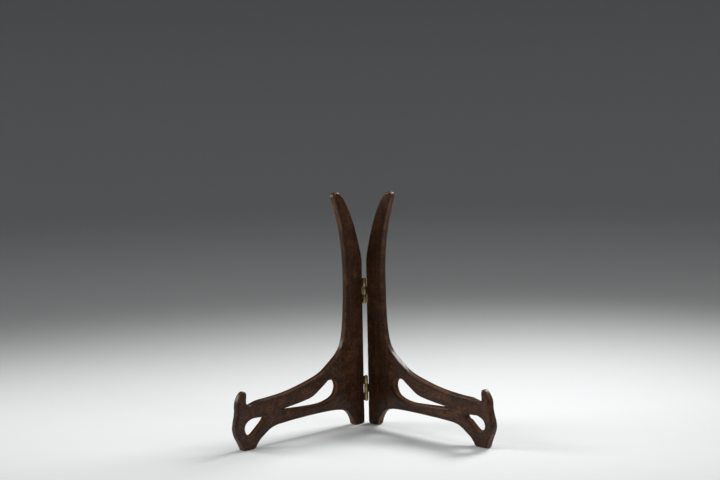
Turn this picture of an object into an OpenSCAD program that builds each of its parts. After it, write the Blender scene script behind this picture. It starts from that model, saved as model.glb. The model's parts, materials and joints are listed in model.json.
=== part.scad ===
// Folding wooden plate stand. Two fretted hardwood leaves stand open in a V and fold face to face
// about two brass butt hinges at their rear edges. A plate sits in the saddles behind the two front
// hooks and leans back on the horns of the uprights. Each leaf is two boards, edge-jointed with dowels.
// +Z is up, the plate faces -Y, and the origin is the middle of the footprint on the floor.

/* [Stand] */
// Angle between the two leaves, 0 when folded face to face
open_angle = 90; // [60:1:120]
// Height of the horns above the floor
stand_h = 248; // [236:1:270]
// From the hinge pin to the outermost point of a front foot
reach = 176.5; // [170:0.5:190]
// Thickness of the boards
leaf_t = 8; // [7:0.5:10]

/* [Front foot] */
// Width of the left front foot where it meets the floor
left_foot_w = 15.4; // [13:0.1:18]
// Width of the right front foot where it meets the floor
right_foot_w = 15.4; // [13:0.1:18]
// Height of the saddle that the plate's rim rests in
saddle_h = 45; // [42:0.5:50]
// Height of the hook's tip above the saddle
hook_h = 13.9; // [12.5:0.1:18]
// How far the left hook stands outside the pattern, with its foot inside it
left_lean = 0.9; // [-1.5:0.1:1.5]
// How far the right hook stands outside the pattern, with its foot inside it
right_lean = -0.4; // [-1.5:0.1:1.5]
// Height of the arch between the feet
arch_h = 19.5; // [16:0.5:22]
// Width of the teardrop opening in the left foot
left_tear_w = 26.6; // [20:0.1:30]
// Width of the teardrop opening in the right foot
right_tear_w = 25.8; // [20:0.1:30]
// Height of the lowest point of the left teardrop
left_tear_z = 14.2; // [13:0.1:17]
// Height of the lowest point of the right teardrop
right_tear_z = 15.8; // [13:0.1:17]
// Wood left outside the left teardrop
left_rim_w = 12.4; // [10.5:0.1:13]
// Wood left outside the right teardrop
right_rim_w = 11.4; // [10.5:0.1:13]

/* [Upright] */
// Width of the upright beside the hinges
post_w = 22; // [20:0.5:26]
// Height of the glued joint between upright and bracket
joint_h = 74; // [66:1:80]
// How far the horn's tip stands out from the hinge pin
horn_out = 39; // [32:1:46]

/* [Hinges] */
// Length of a hinge along its pin
hinge_h = 26; // [22:1:30]
// Height of the middle of the lower hinge
lower_hinge_z = 38; // [30:1:50]
// Height of the middle of the upper hinge
upper_hinge_z = 142; // [110:1:146]
// Thickness of the hinge plates
plate_t = 1; // [0.8:0.1:1.2]
// Outer radius of the knuckles
knuckle_r = 2.1; // [2:0.1:2.4]
// Radius of the hinge pins
pin_r = 1.1; // [0.9:0.1:1.2]
// Length of the wood screws
screw_l = 10; // [8:0.5:11]

/* [Dowels] */
// Radius of the dowels
dowel_r = 2; // [1.5:0.25:2.5]
// Length of the dowels
dowel_l = 22; // [16:1:24]

/* [Hidden] */

wood = [0.20, 0.115, 0.08];
wood_pale = [0.55, 0.40, 0.26];
brass = [0.72, 0.55, 0.28];

$fn = 48;
curve_steps = 7;                        // straight pieces between two points of a smooth run
glue_gap = 0.05;                        // left between glued or screwed pieces
turn_gap = 0.05;                        // radial running clearance round a hinge pin
knuckle_gap = 0.15;                     // between neighbouring knuckles

edge_u = knuckle_r - plate_t;           // from the pin to a board's rear edge, flush with the hinge plate
face_y = 2;                             // from the pin to the inner face of a board
joint_u = edge_u + post_w + 5;          // the glued joint between upright and bracket
joint_z = 18;                           // lower end of the glued joint
plate_w = leaf_t - 0.5;                 // width of a hinge plate across the board's edge
screw_head_r = 1.9;
screw_shank_r = 1.05;
screw_spread = hinge_h * 0.31;          // screws above and below a hinge's middle

// Half the footprint's depth decides where the pin stands, because the origin is the footprint's middle.
splay = 90 - open_angle / 2;
front_y = reach * sin(splay) - face_y * cos(splay);
rear_y = (face_y + leaf_t) * cos(splay) - edge_u * sin(splay);
pin_y = (front_y - rear_y) / 2;

// ---- curves ----

// One point of a Catmull-Rom curve between b and c, at t from 0 to 1.
function between(a, b, c, d, t) =
    0.5 * (2 * b + (c - a) * t + (2 * a - 5 * b + 4 * c - d) * t * t + (3 * b - a - 3 * c + d) * t * t * t);

// A smooth run through the points p, without its last point, which the next run or corner supplies.
function run(p) = [for (i = [0 : len(p) - 2], k = [0 : curve_steps - 1])
    between(p[max(i - 1, 0)], p[i], p[i + 1], p[min(i + 2, len(p) - 1)], k / curve_steps)];

// ---- outlines, drawn with x as the distance from the pin and y as the height ----

// The foot and hook: up the wavy outer edge, round the tip and down into the saddle.
// A hook that leans outward is also a little taller, and its foot stands a little inward.
foot_out = reach - 9;
function hook_top(lean) = saddle_h + hook_h + lean * 0.8;
function foot_edge(lean) = let (top = hook_top(lean))
    [[foot_out - lean * 1.2, 0], [reach - 6.8 - lean * 0.8, 5], [reach - 4.4 - lean * 0.3, 10],
     [reach - 1.9, 15], [reach - 0.3, 20], [reach, 23.7], [reach - 0.9, 29],
     [reach - 2.6 + lean * 0.3, 34.5], [reach - 3.8 + lean * 0.6, 40],
     [reach - 4 + lean, saddle_h], [reach - 4.8 + lean, top - 9], [reach - 7.2 + lean, top - 4.4],
     [reach - 10.2 + lean, top - 1.1], [reach - 12.9 + lean, top],
     [reach - 15.5 + lean * 0.6, top - 1.2], [reach - 16 + lean * 0.6, top - 4.6],
     [reach - 15.5 + lean * 0.7, saddle_h + 5.5], [reach - 15.9 + lean * 0.5, saddle_h + 2],
     [reach - 19.5, saddle_h]];

// The top edge, from the saddle back to the glued joint in one long hollow.
top_edge = [[reach - 19.5, saddle_h], [reach - 25, saddle_h + 1.4], [reach - 32, saddle_h + 2.8],
            [reach - 46, saddle_h + 3.4], [reach - 68, saddle_h + 5.6], [reach - 93, saddle_h + 10.5],
            [joint_u + 32, saddle_h + 17.5], [joint_u + 17, joint_z + joint_h - 20],
            [joint_u + 7.4, joint_z + joint_h - 12.2], [joint_u + 2.3, joint_z + joint_h - 5.6],
            [joint_u, joint_z + joint_h]];

// The underside, from the joint along the arch and down to the inner side of the foot.
function under_edge(inside) =
    [[joint_u, joint_z], [joint_u + 4.5, joint_z + 1.3], [joint_u + 13, joint_z + 2.5],
     [joint_u + 36, arch_h + 1.5],
     [reach - 80, arch_h + 1], [inside - 35, arch_h], [inside - 28.3, arch_h - 0.7],
     [inside - 20.4, arch_h - 2.8], [inside - 10.8, arch_h - 8.5],
     [inside - 6.4, arch_h - 11.5], [inside - 2.2, arch_h - 15.7], [inside, 0]];

// The rear foot, from its toe up to the joint.
toe_edge = [[edge_u + 14, 0], [edge_u + 15.2, 5], [edge_u + 17.8, 10], [edge_u + 20.9, 14],
            [joint_u - 3.4, joint_z - 1.6], [joint_u, joint_z]];

// The front edge of the upright, from the joint up to the tip of the horn.
rest_edge = [[joint_u, joint_z + joint_h], [joint_u - 1.3, joint_z + joint_h + 6],
             [joint_u - 3.2, joint_z + joint_h + 19],
             [edge_u + post_w + 0.4, stand_h - 112], [edge_u + post_w, stand_h - 82],
             [edge_u + post_w + 2.6, stand_h - 52], [horn_out - 7.4, stand_h - 27],
             [horn_out - 1.2, stand_h - 9.5], [horn_out, stand_h - 4.6], [horn_out - 2, stand_h - 0.9],
             [horn_out - 6, stand_h]];

// The rear edge of the horn, from its tip back down to the straight stretch beside the hinges.
horn_edge = [[horn_out - 6, stand_h], [horn_out - 11, stand_h - 2.8], [horn_out - 19, stand_h - 14],
             [horn_out - 27.5, stand_h - 33], [edge_u + 3.6, stand_h - 54], [edge_u, stand_h - 74]];

module bracket_outline(foot_w, lean) {
    inside = foot_out - lean * 1.2 - foot_w;
    polygon(concat(run(under_edge(inside)), [[inside, 0]], run(foot_edge(lean)), run(top_edge),
                   [[joint_u, joint_z + joint_h]]));
}

module upright_outline() {
    polygon(concat(run(toe_edge), [[joint_u, joint_z]], run(rest_edge), run(horn_edge),
                   [[edge_u, stand_h - 74], [edge_u, 3], [edge_u + 0.6, 1], [edge_u + 2, 0]]));
}

// The teardrop in the foot: round towards the hook, pointed towards the hinge. It is w wide, its lowest
// point stands at floor_z, and it leaves rim_w of wood outside it.
module foot_tear(w, floor_z, rim_w) {
    edge = reach - rim_w;
    tip = [edge - w, 29.9];
    belly = [edge - 6, floor_z];
    polygon(concat(
        run([tip, [edge - 0.7 * w, 30.6], [edge - 0.42 * w, 30.8], [edge - 8, 30.2], [edge - 4.2, 28.7],
             [edge - 1.4, 26.3], [edge, 22.8], [edge - 0.6, 19.2], [edge - 2.8, floor_z + 1.7], belly]),
        run([belly, [edge - 0.35 * w, floor_z + 0.6], [edge - 0.48 * w, floor_z + 2.9],
             [edge - 0.64 * w, floor_z + 6.2], [edge - 0.79 * w, floor_z + 9.4], [edge - 0.91 * w, 26.6],
             tip])));
}

// The longer teardrop in the bracket points the other way, along the arm.
module arm_tear() {
    tip = [reach - 60, arch_h + 14];
    crown = [joint_u + 22.5, arch_h + 34];
    polygon(concat(
        run([tip, [joint_u + 46, arch_h + 11.6], [joint_u + 28, arch_h + 12.4],
             [joint_u + 15.5, arch_h + 17.2], [joint_u + 11.2, arch_h + 26], [joint_u + 14.5, arch_h + 33],
             crown]),
        run([crown, [joint_u + 34, arch_h + 26.5], [joint_u + 50, arch_h + 19], tip])));
}

// ---- placing ----

// Stands a drawing up as a board: its inner face looks at the plate, face_y behind the pin.
module board() {
    translate([0, face_y + leaf_t, 0]) rotate([90, 0, 0]) linear_extrude(leaf_t) children();
}

module right() {
    translate([0, pin_y, 0]) rotate([0, 0, -splay]) children();
}

module left() {
    mirror([1, 0, 0]) right() children();
}

// Something that lies along the board, with its own axis pointing away from the pin.
module along_board(u, y, z) {
    translate([u, y, z]) rotate([0, 90, 0]) children();
}

// ---- wood ----

dowel_z = [joint_z + joint_h * 0.2, joint_z + joint_h * 0.62];
middle_y = face_y + leaf_t / 2;

module dowel_bores() {
    for (z = dowel_z)
        along_board(joint_u - dowel_l / 2 - 0.5, middle_y, z)
            cylinder(h = dowel_l + 1, r = dowel_r + glue_gap);
}

module screw_bores() {
    for (z = [lower_hinge_z, upper_hinge_z], side = [-1, 1])
        along_board(edge_u - 1, middle_y, z + side * screw_spread)
            cylinder(h = screw_l + 1.5, r = screw_shank_r + glue_gap);
}

// A shallow housing for each hinge plate, cut right across the rear edge.
module hinge_housings() {
    for (z = [lower_hinge_z, upper_hinge_z])
        translate([edge_u - 1, face_y - 1, z - hinge_h / 2 - glue_gap])
            cube([plate_t + glue_gap + 1, leaf_t + 2, hinge_h + 2 * glue_gap]);
}

module upright() {
    color(wood) difference() {
        board() upright_outline();
        hinge_housings();
        screw_bores();
        dowel_bores();
    }
}

// A bracket board. Its teardrop is passed as a child drawing, because each foot has its own.
module bracket(foot_w, lean) {
    color(wood) difference() {
        translate([glue_gap, 0, 0]) board() difference() {
            bracket_outline(foot_w, lean);
            children();
            arm_tear();
        }
        dowel_bores();
    }
}

module left_bracket() {
    bracket(left_foot_w, left_lean) foot_tear(left_tear_w, left_tear_z, left_rim_w);
}

module right_bracket() {
    bracket(right_foot_w, right_lean) foot_tear(right_tear_w, right_tear_z, right_rim_w);
}

module dowels() {
    color(wood_pale)
        for (z = dowel_z)
            along_board(joint_u - dowel_l / 2, middle_y, z) {
                tip = 0.5;
                cylinder(h = tip, r1 = dowel_r - tip, r2 = dowel_r);
                translate([0, 0, tip]) cylinder(h = dowel_l - 2 * tip, r = dowel_r);
                translate([0, 0, dowel_l - tip]) cylinder(h = tip, r1 = dowel_r, r2 = dowel_r - tip);
            }
}

// ---- hinges ----

// Three knuckles: the left plate holds the outer two and the right plate holds the middle one. Each
// list holds the heights at which a plate's knuckles begin, from the middle of the hinge.
third = hinge_h / 3;
outer = [-hinge_h / 2, hinge_h / 2 - third];
middle = [-third / 2];

// A hinge plate against the board's edge, with its knuckles rolled round the pin.
module hinge_plate(knuckles) {
    back_y = middle_y + plate_w / 2;
    clear_y = knuckle_r + 0.3;
    color(brass) difference() {
        union() {
            translate([edge_u, clear_y, -hinge_h / 2])
                cube([plate_t, back_y - clear_y, hinge_h]);
            for (z = knuckles) translate([0, 0, z + knuckle_gap / 2]) {
                cylinder(h = third - knuckle_gap, r = knuckle_r);
                translate([edge_u, 0, 0]) cube([plate_t, clear_y + 1, third - knuckle_gap]);
            }
        }
        translate([0, 0, -hinge_h]) cylinder(h = 2 * hinge_h, r = pin_r + turn_gap);
        for (side = [-1, 1]) along_board(edge_u, middle_y, side * screw_spread) {
            translate([0, 0, -1]) cylinder(h = plate_t + 2, r = screw_shank_r + glue_gap);
            cylinder(h = screw_head_r - screw_shank_r, r1 = screw_head_r + glue_gap,
                     r2 = screw_shank_r + glue_gap);
        }
    }
}

// The pin, with a low head riveted over at each end.
module hinge_pin() {
    head_r = pin_r + 0.55;
    head_h = 0.55;
    stand_off = 0.05;
    color(brass) {
        translate([0, 0, -hinge_h / 2 - stand_off]) cylinder(h = hinge_h + 2 * stand_off, r = pin_r);
        for (side = [0, 1]) mirror([0, 0, side])
            translate([0, 0, hinge_h / 2 + stand_off]) cylinder(h = head_h, r1 = head_r, r2 = head_r - 0.4);
    }
}

// A countersunk wood screw with a slotted head, flush with the hinge plate.
module screw(slot_turn) {
    head_h = screw_head_r - screw_shank_r;
    thread_from = screw_l * 0.35;
    pitch = 0.85;
    slot_w = 0.5;
    slot_depth = 0.4;
    root_r = screw_shank_r * 0.7;
    threads = floor((screw_l - thread_from - 1.2) / pitch);
    ridge = [[root_r, 0], [screw_shank_r, pitch * 0.55], [root_r, pitch * 0.7]];
    ridges = [for (i = [0 : threads - 1], p = ridge) [p[0], thread_from + i * pitch + p[1]]];
    color(brass) difference() {
        rotate_extrude() polygon(concat(
            [[0, 0.02], [screw_head_r, 0.02], [screw_shank_r, head_h], [screw_shank_r, thread_from - 0.2]],
            ridges, [[root_r, screw_l - 1.2], [0.12, screw_l], [0, screw_l]]));
        rotate([0, 0, slot_turn]) translate([-screw_head_r - 1, -slot_w / 2, -1])
            cube([2 * screw_head_r + 2, slot_w, 1 + slot_depth]);
    }
}

module screws(turns) {
    for (i = [0, 1]) along_board(edge_u, middle_y, (2 * i - 1) * screw_spread) screw(turns[i]);
}

module at_hinge(z) {
    translate([0, 0, z]) children();
}

// ---- assembly ----

left() upright();  // left_upright
left() left_bracket();
left() dowels();  // left_dowels
right() upright();  // right_upright
right() right_bracket();
right() dowels();  // right_dowels
left() at_hinge(upper_hinge_z) hinge_plate(outer);  // upper_hinge_left_leaf
right() at_hinge(upper_hinge_z) hinge_plate(middle);  // upper_hinge_right_leaf
right() at_hinge(upper_hinge_z) hinge_pin();  // upper_hinge_pin
left() at_hinge(lower_hinge_z) hinge_plate(outer);  // lower_hinge_left_leaf
right() at_hinge(lower_hinge_z) hinge_plate(middle);  // lower_hinge_right_leaf
right() at_hinge(lower_hinge_z) hinge_pin();  // lower_hinge_pin
left() at_hinge(upper_hinge_z) screws([12, 67]);  // upper_hinge_left_screws
right() at_hinge(upper_hinge_z) screws([81, 34]);  // upper_hinge_right_screws
left() at_hinge(lower_hinge_z) screws([55, 5]);  // lower_hinge_left_screws
right() at_hinge(lower_hinge_z) screws([28, 90]);  // lower_hinge_right_screws
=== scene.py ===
"""The looks of the folding plate stand: carved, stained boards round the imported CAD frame, and aged brass
hinges. A place on a board is given by u, the distance out from the hinge pin, by z, the height, and by its
depth, from the pin towards the plate. Lengths are in metres."""

import json
import math

import bmesh
import bpy
import numpy as np
from mathutils import Matrix, Vector, geometry, noise

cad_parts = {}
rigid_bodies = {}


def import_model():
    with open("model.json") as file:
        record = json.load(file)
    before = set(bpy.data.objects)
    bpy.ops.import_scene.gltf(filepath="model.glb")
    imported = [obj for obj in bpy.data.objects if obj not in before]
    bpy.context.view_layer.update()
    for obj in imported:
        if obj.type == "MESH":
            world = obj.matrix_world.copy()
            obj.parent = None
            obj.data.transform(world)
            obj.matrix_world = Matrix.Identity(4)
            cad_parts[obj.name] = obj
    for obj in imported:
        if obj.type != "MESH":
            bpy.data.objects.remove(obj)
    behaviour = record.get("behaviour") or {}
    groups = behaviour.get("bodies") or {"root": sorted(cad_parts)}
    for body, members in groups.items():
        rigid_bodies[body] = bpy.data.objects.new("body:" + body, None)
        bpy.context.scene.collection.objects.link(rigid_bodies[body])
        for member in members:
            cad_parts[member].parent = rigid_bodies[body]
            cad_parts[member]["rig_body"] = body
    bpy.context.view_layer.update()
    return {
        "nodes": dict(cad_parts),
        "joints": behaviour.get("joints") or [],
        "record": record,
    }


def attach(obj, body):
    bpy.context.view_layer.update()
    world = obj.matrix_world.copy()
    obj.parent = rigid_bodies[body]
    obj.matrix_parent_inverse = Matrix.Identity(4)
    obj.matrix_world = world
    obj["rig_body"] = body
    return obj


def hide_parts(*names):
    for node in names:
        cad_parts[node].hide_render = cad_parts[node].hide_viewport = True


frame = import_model()

MM = 0.001
PIN = Vector(frame["joints"][0]["pos_m"])
BOARDS = ("left_upright", "left_bracket", "right_upright", "right_bracket")

noise.seed_set(1)          # so that noise_vector gives the same waver each run

# How far each kind of edge is rounded over, as a radius.
SOFT_EDGE = 2.1 * MM
SOFT_TIP = 2.6 * MM
SOFT_TEAR = 2.4 * MM
SOFT_FOOT = 0.9 * MM
SOFT_REAR = 0.45 * MM
SOFT_SEAM = 0.12 * MM

# How far a corner of an outline is cut back: a foot's inner corner, its outer one, and any other.
CUT_INNER = 3.2 * MM
CUT_OUTER = 1.5 * MM
CUT_OTHER = 0.9 * MM

# Where the parts of a board lie.
SQUARE_CORNERS = 1.5 * MM  # width at an upright's rear edge where the corners stay square
REAR_BAND = 2 * MM         # width at an upright's rear edge where the arrises stay crisp
FOOT_WIDTH = 15 * MM       # from a bracket's outermost point to the inner corner of its foot
FOOT_HEIGHT = 14 * MM      # over which the crisp arrises of a foot grow soft
HOOK_WIDTH = 17 * MM       # from a bracket's outermost point to the inside of its hook
HOOK_BASE = 50 * MM        # the height at which the hook begins
HORN_TIP = 22 * MM         # the length of the horn's end

SAME = 0.001 * MM          # corners this near each other are one
STEP = 0.8 * MM            # spacing of the points along an outline
GRID = 2.6 * MM            # spacing of the points on a board's flat
RING_SHARES = (0.035, 0.13, 0.28, 0.47, 0.7, 0.98, 1.35)  # rings of points inside an edge, in its radii
CORNER_TURN = math.radians(24)
CREASE = math.radians(38)


def new_object(name, data):
    """An object in the scene that shows a mesh, or is a light or a camera."""
    obj = bpy.data.objects.new(name, data)
    bpy.context.scene.collection.objects.link(obj)
    return obj


# ---- outlines read from the frame ----

def board_axes(obj):
    """The board's inner normal and its outward direction from the pin, both level."""
    area = {}
    for face in obj.data.polygons:
        stands_upright = abs(face.normal.z) < 0.01
        if stands_upright:
            key = tuple(round(c, 2) for c in face.normal)
            area[key] = area.get(key, 0) + face.area
    widest = max(area, key=area.get)
    inner = Vector((widest[0], widest[1], 0)).normalized()
    if inner.y > 0:
        inner = -inner
    outward = Vector((-inner.y, inner.x, 0))
    centre = sum((v.co for v in obj.data.vertices), Vector()) / len(obj.data.vertices)
    if outward.dot(centre - PIN) < 0:
        outward = -outward
    return inner, outward


def flat_loops(obj, inner, outward):
    """Closed loops round the board's inner face, as arrays of (u, z), and the depths of its two faces.
    The outline comes first and runs anticlockwise; the openings run clockwise."""
    bm = bmesh.new()
    bm.from_mesh(obj.data)
    bmesh.ops.remove_doubles(bm, verts=bm.verts, dist=SAME)
    depth = [(v.co - PIN).dot(inner) for v in bm.verts]
    front, back = max(depth), min(depth)

    def on_front(face):
        return all(abs((v.co - PIN).dot(inner) - front) < 2 * SAME for v in face.verts)

    links = {}
    for edge in bm.edges:
        sides = [on_front(face) for face in edge.link_faces]
        if sides.count(True) == 1:
            a, b = edge.verts
            links.setdefault(a.index, []).append(b.index)
            links.setdefault(b.index, []).append(a.index)
    bm.verts.ensure_lookup_table()
    loops = []
    while links:
        start = next(iter(links))
        path, here, before = [start], start, None
        while True:
            after = [n for n in links[here] if n != before]
            before, here = here, after[0]
            if here == start:
                break
            path.append(here)
        for index in path:
            links.pop(index, None)
        loops.append(np.array([((bm.verts[i].co - PIN).dot(outward), bm.verts[i].co.z) for i in path]))
    bm.free()
    loops.sort(key=lambda loop: -abs(signed_area(loop)))
    turned = []
    for i, loop in enumerate(loops):
        is_outline = i == 0
        turned.append(loop if (signed_area(loop) > 0) == is_outline else loop[::-1])
    return turned, front, back


def signed_area(loop):
    """The area inside a loop, which is positive if it runs anticlockwise."""
    x, y = loop[:, 0], loop[:, 1]
    return 0.5 * float(np.sum(x * np.roll(y, -1) - np.roll(x, -1) * y))


# ---- smoothing an outline ----

def turn_at(a, b, c):
    """The angle through which the path from a to c turns at b."""
    before, after = b - a, c - b
    cross = before[0] * after[1] - before[1] * after[0]
    return math.atan2(cross, float(before @ after))


def split_at_corners(loop, at_seam):
    """The loop's runs between sharp corners and seam ends. A loop with none comes back as one closed run."""
    n = len(loop)
    corners = []
    for i, here in enumerate(loop):
        before, after = loop[i - 1], loop[(i + 1) % n]
        seam_ends = at_seam(here) and not (at_seam(before) and at_seam(after))
        if seam_ends or abs(turn_at(before, here, after)) > CORNER_TURN:
            corners.append(i)
    if not corners:
        return [np.vstack([loop, loop[:1]])]
    runs = []
    for start, stop in zip(corners, corners[1:] + [corners[0] + n]):
        runs.append(np.array([loop[i % n] for i in range(start, stop + 1)]))
    return runs


def resample(run, step):
    """Points at an even spacing along a smooth curve through the run."""
    if len(run) > 2:
        shares = np.linspace(0, 1, 9)[:-1]
        dense = []
        for i in range(len(run) - 1):
            a, b, c, d = run[max(i - 1, 0)], run[i], run[i + 1], run[min(i + 2, len(run) - 1)]
            for t in shares:
                dense.append(0.5 * (2 * b + (c - a) * t + (2 * a - 5 * b + 4 * c - d) * t * t
                                    + (3 * b - a - 3 * c + d) * t ** 3))
        dense.append(run[-1])
        run = np.array(dense)
    along = np.concatenate([[0], np.cumsum(np.linalg.norm(np.diff(run, axis=0), axis=1))])
    count = max(2, int(round(along[-1] / step)) + 1)
    stations = np.linspace(0, along[-1], count)
    return np.stack([np.interp(stations, along, run[:, k]) for k in (0, 1)], axis=1)


def ease_corner(before, after, cut):
    """Cuts both runs back from the corner they share and returns the rounded points that join them."""
    corner = before[-1]

    def trim(run):
        away = np.linalg.norm(run - corner, axis=1)
        keep = int(np.argmax(away > cut))
        return run[keep:] if 0 < keep < len(run) - 1 else run

    before = trim(before[::-1])[::-1]
    after = trim(after)
    shares = np.linspace(0, 1, 6)[1:-1]
    bend = [(1 - t) ** 2 * before[-1] + 2 * t * (1 - t) * corner + t * t * after[0] for t in shares]
    return before, np.array(bend), after


def smooth_outline(loop, corner_cut, at_seam):
    """The loop at an even spacing, its corners rounded by the distance that corner_cut gives for each."""
    runs = [resample(run, STEP) for run in split_at_corners(loop, at_seam)]
    if len(runs) == 1:
        return runs[0][:-1]
    joins = []
    for i in range(len(runs)):
        after = (i + 1) % len(runs)
        cut = corner_cut(runs[i][-1])
        if cut > 0:
            runs[i], bend, runs[after] = ease_corner(runs[i], runs[after], cut)
            joins.append(bend)
        else:
            joins.append(None)
    points = []
    for i, run in enumerate(runs):
        bend = joins[i]
        if bend is None:
            points.extend(run[:-1])
        else:
            points.extend(run)
            points.extend(bend)
    return np.array(points)


# ---- the edges of a board ----

class Board:
    """One sawn board: its place, its outlines and how softly each stretch of edge is rounded."""

    def __init__(self, node):
        self.node = node
        obj = frame["nodes"][node]
        self.inner, self.outward = board_axes(obj)
        loops, self.front, self.back = flat_loops(obj, self.inner, self.outward)
        self.rear_u = float(loops[0][:, 0].min())
        self.is_upright = node.endswith("upright")
        self.seam_u, self.seam_low, self.seam_high = self.find_seam(loops[0])
        self.top_z = float(loops[0][:, 1].max())
        self.reach = float(loops[0][:, 0].max())
        self.loops = [smooth_outline(loop, self.corner_cut, self.at_seam) for loop in loops]
        self.soft = [self.softness(i, loop) for i, loop in enumerate(self.loops)]

    def find_seam(self, loop):
        """Where the glued joint stands: the long upright edge on the side of the other board."""
        rear_width = 15 * MM                            # the rear edge itself doesn't count
        step = np.roll(loop, -1, axis=0) - loop
        upright = np.abs(step[:, 0]) < SAME
        lengths = np.where(upright, np.abs(step[:, 1]), 0)
        best = int(np.argmax(np.where(loop[:, 0] > rear_width, lengths, 0)))
        ends = sorted((float(loop[best, 1]), float(loop[(best + 1) % len(loop), 1])))
        return float(loop[best, 0]), *ends

    def at_seam(self, place):
        slack = 0.01 * MM
        u, z = place[..., 0], place[..., 1]
        return (abs(u - self.seam_u) < slack) & (z > self.seam_low - slack) & (z < self.seam_high + slack)

    def corner_cut(self, corner):
        """How far back from a corner of the outline its rounding begins."""
        u, z = corner
        stands_on_floor = z < 0.01 * MM
        if self.at_seam(corner):
            return 0
        if self.is_upright and u < self.rear_u + SQUARE_CORNERS:
            return 0
        if stands_on_floor:
            return CUT_INNER if u < self.reach - FOOT_WIDTH else CUT_OUTER
        return CUT_OTHER

    def softness(self, index, loop):
        """The rounding radius at each point of a loop, or nan where the edge is a glued joint."""
        blend = 7                                       # points either way over which a radius changes
        u, z = loop[:, 0], loop[:, 1]
        radius = np.full(len(loop), SOFT_EDGE)
        if index > 0:
            radius[:] = SOFT_TEAR
        else:
            clear_of_floor = np.clip(z / FOOT_HEIGHT, 0, 1)
            radius = SOFT_FOOT + (radius - SOFT_FOOT) * clear_of_floor ** 0.7
            if self.is_upright:
                radius[u < self.rear_u + REAR_BAND] = SOFT_REAR
                tip = z > self.top_z - HORN_TIP
            else:
                tip = (u > self.reach - HOOK_WIDTH) & (z > HOOK_BASE)
            radius[tip] = SOFT_TIP
        radius = even_out(radius, blend)
        radius[self.at_seam(loop)] = np.nan
        return radius

    def handling(self, places):
        """How much each place's arris is rubbed: most at the openings, the hook, the horn and the foot."""
        beside_opening, horn_grip, arm_start, scuffed = 3 * MM, 40 * MM, 30 * MM, 16 * MM
        seldom, often = 0.6, 1.0
        u, z = places[:, 0], places[:, 1]
        rubbed = np.full(len(places), seldom)
        for loop in self.loops[1:]:
            low, high = loop.min(0) - beside_opening, loop.max(0) + beside_opening
            rubbed[((places > low) & (places < high)).all(1)] = often
        if self.is_upright:
            rubbed[z > self.top_z - horn_grip] = often
        else:
            rubbed[(z > HOOK_BASE) & (u > self.rear_u + arm_start)] = often
        return np.maximum(rubbed, 1.1 - z / scuffed * 0.5)

    def place(self, u, z, depth):
        """A place on the board, in the scene's own axes."""
        return PIN + self.outward * u + self.inner * depth + Vector((0, 0, z - PIN.z))


def even_out(values, reach):
    """A running mean round a closed loop."""
    total = np.zeros_like(values)
    for shift in range(-reach, reach + 1):
        total += np.roll(values, shift)
    return total / (2 * reach + 1)


def edge_segments(board):
    """Every stretch of outline as start, end and the two rounding radii, with seams apart."""
    soft, seams = [], []
    for loop, radius in zip(board.loops, board.soft):
        following, radius_next = np.roll(loop, -1, axis=0), np.roll(radius, -1)
        for a, b, ra, rb in zip(loop, following, radius, radius_next):
            if np.isnan(ra) and np.isnan(rb):
                seams.append((*a, *b))
            else:
                ra, rb = (rb if np.isnan(ra) else ra), (ra if np.isnan(rb) else rb)
                soft.append((*a, *b, ra, rb))
    return np.array(soft), np.array(seams)


def nearest_edge(points, segments):
    """The distance from each point to the segments, and the rounding radius at the nearest place."""
    batch, never_zero = 2000, 1e-18
    distance = np.empty(len(points))
    radius = np.empty(len(points))
    start, stop = segments[:, 0:2], segments[:, 2:4]
    run = stop - start
    length2 = np.maximum((run ** 2).sum(1), never_zero)
    for first in range(0, len(points), batch):
        p = points[first:first + batch]
        t = np.clip(((p[:, None, :] - start) * run).sum(2) / length2, 0, 1)
        gap = p[:, None, :] - (start + t[:, :, None] * run)
        d2 = (gap ** 2).sum(2)
        best = d2.argmin(1)
        rows = np.arange(len(p))
        distance[first:first + batch] = np.sqrt(d2[rows, best])
        has_radii = segments.shape[1] > 4
        if has_radii:
            at = t[rows, best]
            radius[first:first + batch] = segments[best, 4] * (1 - at) + segments[best, 5] * at
    return distance, radius


def inside(points, loops):
    """Whether each point is in the solid, by counting crossings."""
    crossings = np.zeros(len(points), int)
    for loop in loops:
        following = np.roll(loop, -1, axis=0)
        for (x1, y1), (x2, y2) in zip(loop, following):
            if y1 == y2:
                continue
            spans = (points[:, 1] > min(y1, y2)) & (points[:, 1] <= max(y1, y2))
            x = x1 + (points[:, 1] - y1) * (x2 - x1) / (y2 - y1)
            crossings += (spans & (points[:, 0] < x)).astype(int)
    return crossings % 2 == 1


# ---- carving a board ----

def hand_waver(board, u, z):
    """How far the saw and the scraper strayed at a place on a leaf: in u, in z and in depth."""
    slow_length, quick_length = 21 * MM, 7 * MM
    sawn, scraped, rippled = 0.22 * MM, 0.16 * MM, 0.05 * MM
    leaf = 3.7 if board.outward.x > 0 else 11.2         # a stretch of the noise for each leaf
    slow = noise.noise_vector(Vector((u / slow_length, z / slow_length, leaf)))
    quick = noise.noise(Vector((u / quick_length, z / quick_length, leaf + 5)))
    return slow.x * sawn, slow.y * sawn, slow.z * scraped + quick * rippled


def grain_place(board, u, z, depth):
    """A place in the timber the board was sawn from: along, across and through the grain."""
    if board.is_upright:
        along, across = z, u
    else:
        slope = math.radians(-12)
        along = u * math.cos(slope) + z * math.sin(slope)
        across = z * math.cos(slope) - u * math.sin(slope)
    shift = 0.31 * (BOARDS.index(board.node) + 1)       # every board comes from a place of its own
    return along + shift, across + shift * 0.7, depth + shift * 0.4


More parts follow.
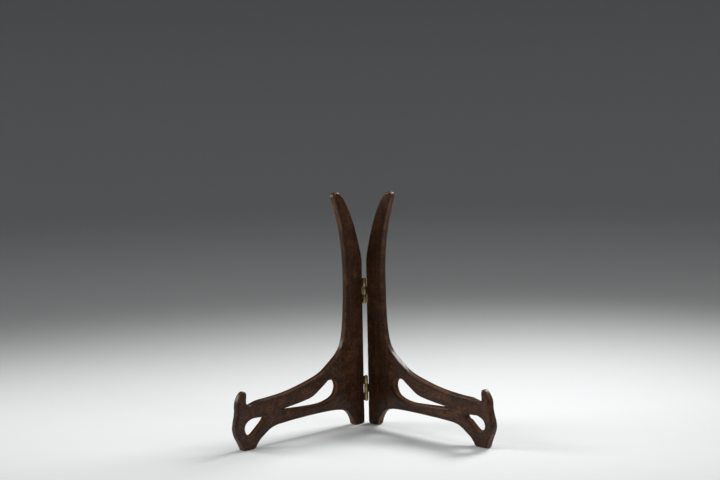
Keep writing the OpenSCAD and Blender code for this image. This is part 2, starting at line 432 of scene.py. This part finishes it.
def joint_points(board, others):
    """A finer grid round the ends of the glued joint, where the rounding runs across it."""
    around, spacing, clear = 8 * MM, 0.55 * MM, 0.3 * MM
    offsets = np.arange(-around, around, spacing)
    extra = []
    for z in (board.seam_low, board.seam_high):
        patch = np.array([(board.seam_u + du, z + dz) for du in offsets for dz in offsets])
        patch = patch[inside(patch, board.loops)]
        near = others[np.abs(others - (board.seam_u, z)).max(1) < around + clear]
        gap = np.sqrt(((patch[:, None, :] - near) ** 2).sum(2)).min(1)
        extra.append(patch[gap > clear])
    return np.vstack(extra)


def surface_points(board, soft, seams):
    """Points for one face of the board: rings along every edge, then an even grid on the flat."""
    rings = []
    for loop, radius in zip(board.loops, board.soft):
        following, before = np.roll(loop, -1, axis=0), np.roll(loop, 1, axis=0)
        along = following - before
        along /= np.linalg.norm(along, axis=1, keepdims=True)
        into = np.stack([-along[:, 1], along[:, 0]], axis=1)
        reach = np.where(np.isnan(radius), SOFT_SEAM * 2, radius)
        for share in RING_SHARES:
            ring = loop + into * (reach * share)[:, None]
            rings.append((ring, reach * share))
    points = np.vstack([ring for ring, _ in rings])
    wanted = np.concatenate([gap for _, gap in rings])
    gap, _ = nearest_edge(points, np.vstack([soft[:, :4], seams]))
    nothing_nearer = gap > wanted * 0.96
    points = points[nothing_nearer & inside(points, board.loops)]
    low, high = board.loops[0].min(0), board.loops[0].max(0)
    rows = np.arange(low[1], high[1], GRID * 0.87)
    grid = np.array([(x + (GRID / 2 if i % 2 else 0), y)
                     for i, y in enumerate(rows) for x in np.arange(low[0], high[0], GRID)])
    gap, radius = nearest_edge(grid, soft)
    seam_gap, _ = nearest_edge(grid, seams)
    on_flat = (gap > radius * RING_SHARES[-1] + GRID * 0.45) & (seam_gap > GRID * 0.5)
    grid = grid[on_flat & inside(grid, board.loops)]
    points = np.vstack([points, grid])
    return np.vstack([points, joint_points(board, np.vstack([points, *board.loops]))])


def triangles(board, points):
    """The points of a board's outline and flat joined into triangles, with the outline's own edges."""
    close = 1e-5                        # corners nearer than this would merge, in millimetres
    edges, first = [], 0
    for loop in board.loops:
        count = len(loop)
        edges += [(first + i, first + (i + 1) % count) for i in range(count)]
        first += count
    flat = [Vector(p) / MM for p in points]
    made, _, faces, _, _, _ = geometry.delaunay_2d_cdt(flat, edges, [], 0, close)
    assert len(made) == len(flat), f"{board.node}: the outline crosses itself"
    places = np.array([tuple(p) for p in made]) * MM
    middles = np.array([places[list(face)].mean(0) for face in faces])
    kept = [face for face, ok in zip(faces, inside(middles, board.loops)) if ok]
    return places, edges, kept


def rounding_drop(gap, radius, seam_gap):
    """How far each place lies below the flat, where its edge is rounded over or meets a glued joint."""
    over = np.clip(radius - gap, 0, None)
    drop = radius - np.sqrt(np.maximum(radius ** 2 - over ** 2, 0))
    near_seam = np.clip(1 - seam_gap / (SOFT_SEAM * 2), 0, 1)
    return np.maximum(drop, SOFT_SEAM * near_seam ** 2)


def looseness(board, places, seam_gap):
    """How freely each place may waver: 0 where the board has to fit the floor, a hinge or its partner,
    and 1 well clear of them."""
    settles = 9 * MM
    fitted = np.minimum(seam_gap, places[:, 1])
    if board.is_upright:
        fitted = np.minimum(fitted, np.clip(places[:, 0] - board.rear_u, 0, None))
    return np.clip(fitted / settles, 0, 1)


def unlacquered(board, places):
    """1 on the walls of the board's openings, and 0 from a rounding's width away from them."""
    if len(board.loops) == 1:
        return np.zeros(len(places))
    openings = np.vstack([np.hstack([loop, np.roll(loop, -1, axis=0)]) for loop in board.loops[1:]])
    return np.clip(1 - nearest_edge(places, openings)[0] / SOFT_TEAR, 0, 1)


def carve(board, partner, name):
    """The board as one closed mesh, its edges rounded over by hand together with its glued partner's."""
    # The third value is the share of dirt and painted shade on the walls of the edges and openings.
    levels, wall_wear, wall_dirt_and_shade = 3, 0.35, 0.5
    soft, seams = edge_segments(board)
    leaf_soft = np.vstack([soft, edge_segments(partner)[0]])
    outline = np.vstack(board.loops)
    places, edges, kept = triangles(board, np.vstack([outline, surface_points(board, soft, seams)]))
    count, rim = len(places), len(outline)
    half = (board.front - board.back) / 2
    middle = (board.front + board.back) / 2

    gap, radius = nearest_edge(places, leaf_soft)
    seam_gap, _ = nearest_edge(places, seams)
    drop = rounding_drop(gap, radius, seam_gap)
    loose = looseness(board, places, seam_gap)
    worn = board.handling(places) * np.exp(-(gap / np.maximum(radius * 0.85, 0.3 * MM)) ** 2)
    dirt_and_shade_line = np.exp(-((gap / radius - 1.15) / 0.55) ** 2)       # painted shade in a line just inside each rounding, broken into patches like dirt
    bare_wall = unlacquered(board, places)

    bm = bmesh.new()
    grain, wear, grime, bare = [], [], [], []

    def add(i, depth, edge_wear):
        u, z = places[i]
        du, dz, dd = (loose[i] * stray for stray in hand_waver(board, u, z))
        from_middle = abs(depth - middle) / half
        grain.append(grain_place(board, u, z, depth))
        wear.append(edge_wear)
        bare.append(bare_wall[i])
        # Dirt and painted shade: the faces get the dark line beside each rounding, the walls a flat half
        # share.
        grime.append(dirt_and_shade_line[i] if from_middle > 0.6 else wall_dirt_and_shade)
        return bm.verts.new(board.place(u + du, z + dz, depth + dd * from_middle))

    sheets = []
    for side in (1, -1):
        sheets.append([add(i, middle + side * (half - drop[i]), worn[i]) for i in range(count)])
    walls = [sheets[0][:rim]]
    for level in range(1, levels):
        share = 1 - 2 * level / levels
        walls.append([add(i, middle + share * (half - drop[i]), worn[i] * wall_wear) for i in range(rim)])
    walls.append(sheets[1][:rim])
    for face in kept:
        bm.faces.new([sheets[0][i] for i in face])
        bm.faces.new([sheets[1][i] for i in reversed(face)])
    for a, b in edges:
        for upper, lower in zip(walls, walls[1:]):
            bm.faces.new((upper[b], upper[a], lower[a], lower[b]))
    bm.normal_update()
    bmesh.ops.recalc_face_normals(bm, faces=bm.faces)
    mesh = bpy.data.meshes.new(name)
    bm.to_mesh(mesh)
    bm.free()
    mesh.attributes.new("grain", "FLOAT_VECTOR", "POINT").data.foreach_set("vector", np.array(grain).ravel())
    for key, values in (("wear", wear), ("grime", grime), ("bare", bare)):
        mesh.attributes.new(key, "FLOAT", "POINT").data.foreach_set("value", np.array(values))
    mesh.shade_smooth()
    mesh.set_sharp_from_angle(angle=CREASE)
    return new_object(name, mesh)


def solids_of(node):
    """The corners of each separate solid in a node, as one array per solid."""
    bm = bmesh.new()
    bm.from_mesh(frame["nodes"][node].data)
    bmesh.ops.remove_doubles(bm, verts=bm.verts, dist=SAME)
    seen, solids = set(), []
    for start in bm.verts:
        corners, reached = [], [start]
        while reached:
            vert = reached.pop()
            if vert not in seen:
                seen.add(vert)
                corners.append(tuple(vert.co))
                reached.extend(edge.other_vert(vert) for edge in vert.link_edges)
        if corners:
            solids.append(np.array(corners))
    bm.free()
    return solids


def bore_for(board, solid, bm):
    """Adds to bm a round cutter that leaves glue_gap round the part of a dowel or screw inside a board."""
    glue_gap, overrun, head_height, sides = 0.05 * MM, 0.6 * MM, 1.3 * MM, 32
    from_pin = solid - np.array(PIN)
    u, depth, z = from_pin @ np.array(board.outward), from_pin @ np.array(board.inner), solid[:, 2]
    axis_depth, axis_z = (depth.min() + depth.max()) / 2, (z.min() + z.max()) / 2
    shank = u > board.rear_u + head_height
    radius = np.hypot(depth - axis_depth, z - axis_z)[shank].max() + glue_gap
    ends = []
    for at in (u.min() - overrun, u.max() + overrun):
        ring = []
        for turn in np.linspace(0, math.tau, sides, endpoint=False):
            height, deep = axis_z + radius * math.sin(turn), axis_depth + radius * math.cos(turn)
            ring.append(bm.verts.new(board.place(at, height, deep)))
        ends.append(ring)
    bm.faces.new(ends[0])
    bm.faces.new(reversed(ends[1]))
    for i in range(sides):
        j = (i + 1) % sides
        bm.faces.new((ends[0][j], ends[0][i], ends[1][i], ends[1][j]))


def drill(obj, board):
    """Cuts the bores for the dowels, and in an upright those for the hinge screws, into a carved board."""
    side = board.node.split("_")[0]
    held = [side + "_dowels"]
    if board.is_upright:
        held += [f"{level}_hinge_{side}_screws" for level in ("upper", "lower")]
    bm = bmesh.new()
    for node in held:
        for solid in solids_of(node):
            bore_for(board, solid, bm)
    bmesh.ops.recalc_face_normals(bm, faces=bm.faces)
    mesh = bpy.data.meshes.new("bores")
    bm.to_mesh(mesh)
    bm.free()
    cutter = new_object("bores", mesh)
    cut = obj.modifiers.new("bores", "BOOLEAN")
    cut.object = cutter
    cut.operation = "DIFFERENCE"
    cut.solver = "EXACT"
    ready = obj.evaluated_get(bpy.context.evaluated_depsgraph_get())
    solid_board = obj.data
    obj.data = bpy.data.meshes.new_from_object(ready)
    obj.data.name = obj.name
    obj.modifiers.clear()
    bpy.data.objects.remove(cutter)
    bpy.data.meshes.remove(mesh)
    bpy.data.meshes.remove(solid_board)
    obj.data.set_sharp_from_angle(angle=CREASE)


# ---- materials ----

class Nodes:
    """A material's node tree, with short calls for the nodes used here."""

    def __init__(self, name):
        self.material = bpy.data.materials.new(name)
        self.material.use_nodes = True
        self.tree = self.material.node_tree
        self.surface = self.tree.nodes["Principled BSDF"]

    def add(self, kind, **settings):
        """A new node of a kind, with its settings."""
        node = self.tree.nodes.new(kind)
        for key, value in settings.items():
            setattr(node, key, value)
        return node

    def feed(self, socket, value):
        """Puts a number, a tuple or another node's output into a socket."""
        if isinstance(value, bpy.types.NodeSocket):
            self.tree.links.new(value, socket)
        else:
            socket.default_value = value

    def attribute(self, name, output="Fac"):
        return self.add("ShaderNodeAttribute", attribute_name=name).outputs[output]

    def stretch(self, vector, scale):
        """A vector with each of its axes scaled."""
        node = self.add("ShaderNodeMapping")
        self.feed(node.inputs["Vector"], vector)
        node.inputs["Scale"].default_value = scale
        return node.outputs["Vector"]

    def noise(self, vector, scale, detail=3.0, rough=0.55):
        node = self.add("ShaderNodeTexNoise")
        self.feed(node.inputs["Vector"], vector)
        for key, value in (("Scale", scale), ("Detail", detail), ("Roughness", rough)):
            node.inputs[key].default_value = value
        return node.outputs["Fac"]

    def sway(self, vector, scale, reach):
        """The vector moved by a slow noise, by anything from 0 to reach along each axis."""
        stray = self.add("ShaderNodeTexNoise")
        self.feed(stray.inputs["Vector"], self.stretch(vector, scale))
        stray.inputs["Scale"].default_value = 1
        scaled = self.add("ShaderNodeVectorMath", operation="SCALE")
        self.feed(scaled.inputs[0], stray.outputs["Color"])
        scaled.inputs["Scale"].default_value = reach
        moved = self.add("ShaderNodeVectorMath", operation="ADD")
        self.feed(moved.inputs[0], vector)
        self.feed(moved.inputs[1], scaled.outputs[0])
        return moved.outputs[0]

    def math(self, operation, a, b=0.0, c=0.0):
        node = self.add("ShaderNodeMath", operation=operation)
        for socket, value in zip(node.inputs, (a, b, c)):
            self.feed(socket, value)
        return node.outputs[0]

    def ramp(self, value, low, high):
        """0 below low, 1 above high, and smooth between."""
        node = self.add("ShaderNodeMapRange", interpolation_type="SMOOTHSTEP")
        self.feed(node.inputs["Value"], value)
        node.inputs["From Min"].default_value = low
        node.inputs["From Max"].default_value = high
        return node.outputs["Result"]

    def mix(self, share, a, b):
        """Colour a where the share is 0 and colour b where it is 1."""
        node = self.add("ShaderNodeMix", data_type="RGBA")
        self.feed(node.inputs["Factor"], share)
        for socket, value in ((node.inputs[6], a), (node.inputs[7], b)):
            self.feed(socket, (*value, 1) if isinstance(value, tuple) else value)
        return node.outputs[2]

    def tint(self, colour, where, most, paint):
        """The colour under a paint that covers at most a given share of it."""
        return self.mix(self.math("MULTIPLY", where, most), colour, paint)

    def bump(self, height, depth, normal=None):
        """The normal of a surface that rises by depth as the height goes from 0 to 1."""
        node = self.add("ShaderNodeBump")
        self.feed(node.inputs["Height"], height)
        node.inputs["Distance"].default_value = depth
        if normal is not None:
            self.feed(node.inputs["Normal"], normal)
        return node.outputs["Normal"]

    def finish(self, **inputs):
        """Sets the surface's inputs, whose names have _ for a space, and gives the material."""
        for key, value in inputs.items():
            value = (*value, 1) if isinstance(value, tuple) else value
            self.feed(self.surface.inputs[key.replace("_", " ")], value)
        return self.material


def stained_wood():
    """Dark brown stained hardwood under a satin lacquer, rubbed through to red-brown on its arrises. Patterns
    are in waves per metre; the stretched ones have them along, across and through the grain."""
    dark_ring, pale_ring = (0.0464, 0.0180, 0.0076), (0.0976, 0.0392, 0.0160)
    warm_patch, rubbed_edge = (0.1440, 0.0576, 0.0224), (0.2080, 0.0920, 0.0416)
    dark_patch, dark_mottle = (0.0224, 0.0108, 0.0064), (0.0176, 0.0084, 0.0048)
    # The settled-dirt colour is dirt and painted shade together, laid in the line beside each rounding and on
    # the walls.
    dirt_and_shade_colour, dark_streak = (0.0192, 0.0104, 0.0068), (0.0216, 0.0116, 0.0080)
    open_pore = (0.0088, 0.0056, 0.0040)
    pore_depth, tool_depth = 0.05 * MM, 0.16 * MM

    n = Nodes("stained_wood")
    wear, grime, bare = n.attribute("wear"), n.attribute("grime"), n.attribute("bare")
    place = n.sway(n.attribute("grain", "Vector"), (9, 30, 30), 4 * MM)
    rings = n.noise(n.stretch(place, (7, 260, 260)), 1, detail=4, rough=0.6)
    streaks = n.noise(n.stretch(place, (26, 900, 900)), 1, detail=3, rough=0.6)
    pores = n.noise(n.stretch(place, (160, 2600, 2600)), 1, detail=1, rough=0.4)
    tool = n.noise(n.stretch(place, (120, 260, 260)), 1, detail=2, rough=0.5)
    blotch = n.noise(place, 60, detail=3, rough=0.6)
    clouds = n.noise(place, 130, detail=4, rough=0.65)
    mottle = n.noise(place, 620, detail=3, rough=0.6)
    dirt_and_shade_breakup = n.noise(place, 180, detail=3, rough=0.6)
    scuff = n.noise(place, 240, detail=4, rough=0.7)
    sheen = n.noise(place, 320, detail=3)

    pore = n.ramp(pores, 0.60, 0.72)
    # Dirt and painted shade: darkens the line beside each rounding and the walls, in patches.
    dirt_and_shade_mask = n.math("MULTIPLY", grime, n.ramp(dirt_and_shade_breakup, 0.30, 0.60))
    rub = n.ramp(n.math("ADD", wear, n.math("MULTIPLY", scuff, 0.9)), 0.95, 1.5)
    colour = n.mix(n.ramp(rings, 0.34, 0.66), dark_ring, pale_ring)
    colour = n.tint(colour, n.ramp(blotch, 0.44, 0.66), 0.75, warm_patch)
    colour = n.tint(colour, n.ramp(clouds, 0.48, 0.64), 0.6, dark_patch)
    colour = n.tint(colour, n.ramp(mottle, 0.46, 0.60), 0.68, dark_mottle)
    colour = n.tint(colour, dirt_and_shade_mask, 0.6, dirt_and_shade_colour)
    colour = n.tint(colour, n.ramp(streaks, 0.45, 0.75), 0.25, dark_streak)
    colour = n.tint(colour, pore, 0.5, open_pore)
    colour = n.tint(colour, rub, 0.5, rubbed_edge)

    relief = n.math("SUBTRACT", n.math("MULTIPLY", streaks, 0.5), n.math("MULTIPLY", pore, 0.8))
    relief = n.math("SUBTRACT", relief, n.math("MULTIPLY", mottle, 1.6))
    normal = n.bump(tool, tool_depth, n.bump(relief, pore_depth))
    rough = n.math("ADD", 0.30, n.math("MULTIPLY", sheen, 0.18))
    rough = n.math("ADD", rough, n.math("MULTIPLY", pore, 0.2))
    rough = n.math("ADD", rough, n.math("MULTIPLY", bare, 0.3))
    lacquer = n.math("SUBTRACT", 1.0, bare)
    return n.finish(Base_Color=colour, Roughness=rough, Normal=normal,
                    Specular_IOR_Level=n.math("MULTIPLY_ADD", lacquer, 0.09, 0.03),
                    Coat_Weight=n.math("MULTIPLY", lacquer, 0.16), Coat_Roughness=0.18, Coat_Normal=normal)


def dowel_wood():
    """Pale turned hardwood, with its grain along the dowel."""
    early_wood, late_wood = (0.42, 0.27, 0.14), (0.62, 0.45, 0.27)
    grain_depth = 0.03 * MM
    n = Nodes("dowel_wood")
    place = n.add("ShaderNodeTexCoord").outputs["Object"]
    grain = n.noise(n.stretch(place, (500, 500, 1800)), 1, detail=4)
    colour = n.mix(n.ramp(grain, 0.35, 0.7), early_wood, late_wood)
    return n.finish(Base_Color=colour, Roughness=0.6, Normal=n.bump(grain, grain_depth))


def aged_brass():
    """Dulled brass: brown tarnish in patches, brighter where it is handled, with fine draw marks."""
    brass, tarnish = (0.42, 0.285, 0.115), (0.17, 0.105, 0.050)
    pit, polished = (0.07, 0.045, 0.025), (0.62, 0.46, 0.22)
    mark_depth = 0.025 * MM
    n = Nodes("aged_brass")
    place = n.add("ShaderNodeTexCoord").outputs["Object"]
    patches = n.ramp(n.noise(place, 260, detail=5, rough=0.65), 0.4, 0.68)
    marks = n.noise(n.stretch(place, (6000, 6000, 320)), 1, detail=2)
    specks = n.ramp(n.noise(place, 2400, detail=2), 0.62, 0.74)
    arrises = n.ramp(n.add("ShaderNodeNewGeometry").outputs["Pointiness"], 0.51, 0.58)
    colour = n.mix(patches, brass, tarnish)
    colour = n.tint(colour, specks, 0.6, pit)
    colour = n.tint(colour, arrises, 0.6, polished)
    rough = n.math("ADD", 0.30, n.math("MULTIPLY", patches, 0.2))
    rough = n.math("ADD", rough, n.math("MULTIPLY", marks, 0.08))
    normal = n.bump(n.math("SUBTRACT", marks, n.math("MULTIPLY", specks, 0.7)), mark_depth)
    return n.finish(Base_Color=colour, Metallic=0.95, Roughness=rough, Normal=normal)


# ---- the object ----

MATERIALS = {"stained_wood": stained_wood(), "dowel_wood": dowel_wood(), "aged_brass": aged_brass()}
SLOTS = {row["node"]: row["material_slot"] for row in frame["record"]["subparts"]}


def paint(obj, slot):
    obj.data.materials.clear()
    obj.data.materials.append(MATERIALS[slot])


def dress_board(node):
    """Stands a carved board in the place of its plain CAD board."""
    side = node.split("_")[0]
    board = boards[node]
    partner = boards[side + ("_bracket" if board.is_upright else "_upright")]
    obj = carve(board, partner, node + "_carved")
    drill(obj, board)
    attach(obj, frame["nodes"][node]["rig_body"])
    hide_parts(node)
    paint(obj, SLOTS[node])


def weld(obj):
    """Joins the faces of the CAD mesh along their edges as it is shown, and leaves the mesh itself alone."""
    joined = obj.modifiers.new("weld", "WELD")
    joined.merge_threshold = 2 * SAME


def dress_metal(node):
    """Paints a hinge part and softens its arrises."""
    obj = frame["nodes"][node]
    paint(obj, SLOTS[node])
    weld(obj)
    bevel = obj.modifiers.new("bevel", "BEVEL")
    bevel.width = 0.12 * MM
    bevel.segments = 2
    bevel.limit_method = "ANGLE"
    bevel.angle_limit = math.radians(40)


def dress_dowels(node):
    """Paints a leaf's two dowels."""
    obj = frame["nodes"][node]
    paint(obj, SLOTS[node])
    weld(obj)


boards = {node: Board(node) for node in BOARDS}
for node in BOARDS:
    dress_board(node)
for node in frame["nodes"]:
    if SLOTS[node] == "dowel_wood":
        dress_dowels(node)
    if SLOTS[node] == "aged_brass":
        dress_metal(node)


# ---- stage, light and camera ----

def backdrop():
    """A pale floor that sweeps up all round into a wall, painted darker with height as painted shade where
    the light falls off.
    """
    flat, bend, height, sides, bend_steps = 2.2, 1.4, 3.2, 96, 16
    floor_colour, wall_shade_colour, wall_from = (0.80, 0.81, 0.80), (0.52, 0.525, 0.53), 1.0
    profile = [(flat * 0.5, 0.0), (flat, 0.0)]
    for turn in np.linspace(0, math.pi / 2, bend_steps + 1)[1:]:
        profile.append((flat + bend * math.sin(turn), bend * (1 - math.cos(turn))))
    profile.append((flat + bend, height))
    bm = bmesh.new()
    rings = []
    for r, z in profile:
        rings.append([bm.verts.new((r * math.cos(turn), r * math.sin(turn), z))
                      for turn in np.linspace(0, math.tau, sides, endpoint=False)])
    centre = bm.verts.new((0, 0, 0))
    for i in range(sides):
        bm.faces.new((centre, rings[0][i], rings[0][(i + 1) % sides]))
        for low, high in zip(rings, rings[1:]):
            bm.faces.new((low[i], high[i], high[(i + 1) % sides], low[(i + 1) % sides]))
    mesh = bpy.data.meshes.new("backdrop")
    bm.to_mesh(mesh)
    bm.free()
    mesh.shade_smooth()
    n = Nodes("backdrop")
    here = n.add("ShaderNodeSeparateXYZ")
    n.feed(here.inputs[0], n.add("ShaderNodeNewGeometry").outputs["Position"])
    # Painted shade: the colour darkens from the floor's up the wall, in place of the light fading with
    # height.
    shade = n.mix(n.ramp(here.outputs["Z"], 0.0, wall_from), floor_colour, wall_shade_colour)
    mesh.materials.append(n.finish(Base_Color=shade, Roughness=0.6, Specular_IOR_Level=0.2))
    new_object("backdrop", mesh)


def softbox(name, where, size, power, spread=180, colour=(0.98, 0.99, 1.0)):
    """A square area light that faces the stand and isn't seen by the camera. Its power is in watts and its
    spread in degrees."""
    stand_middle = Vector((0, 0, 0.06))
    data = bpy.data.lights.new(name, "AREA")
    data.size = size
    data.energy = power
    data.spread = math.radians(spread)
    data.color = colour
    obj = new_object(name, data)
    obj.location = where
    obj.rotation_euler = (stand_middle - Vector(where)).to_track_quat("-Z", "Y").to_euler()
    obj.visible_camera = False


def sky(colour, strength):
    """An even, faint light from all round."""
    world = bpy.data.worlds.new("sky")
    world.use_nodes = True
    background = world.node_tree.nodes["Background"]
    background.inputs["Color"].default_value = (*colour, 1)
    background.inputs["Strength"].default_value = strength
    bpy.context.scene.world = world


def viewpoint():
    """A long lens a little above the stand, turned and tilted a touch, as it was seen. Its distance and the
    place it aims at are in metres, its lens and sensor in millimetres."""
    elevation, azimuth, roll = math.radians(7), math.radians(-1.4), math.radians(-1.06)
    distance = 1.715
    aim = PIN + Vector((-0.00215, -0.060, 0.20275))
    forward = Vector((math.sin(azimuth) * math.cos(elevation), math.cos(azimuth) * math.cos(elevation),
                      -math.sin(elevation)))
    across = Vector((math.cos(azimuth), -math.sin(azimuth), 0))
    up = across.cross(forward)
    right = across * math.cos(roll) + up * math.sin(roll)
    up = up * math.cos(roll) - across * math.sin(roll)
    data = bpy.data.cameras.new("camera")
    data.lens = 85
    data.sensor_width = 36
    obj = new_object("camera", data)
    obj.matrix_world = (Matrix.Translation(aim - forward * distance)
                        @ Matrix((right, up, -forward)).transposed().to_4x4())
    bpy.context.scene.camera = obj


backdrop()
softbox("left", (-1.12, 0.15, 0.55), size=0.50, power=1.45, spread=70, colour=(1, 1, 1))
softbox("right", (0.95, -0.42, 0.45), size=0.40, power=0.32, spread=70, colour=(1, 1, 1))
softbox("overhead", (0.0, 0.1, 1.75), size=1.0, power=6.6)
softbox("rim", (0.80, 0.75, 1.05), size=0.55, power=2.8, spread=60)
sky((0.93, 0.96, 1.0), strength=0.10)
viewpoint()
bpy.context.scene.view_settings.view_transform = "Standard"
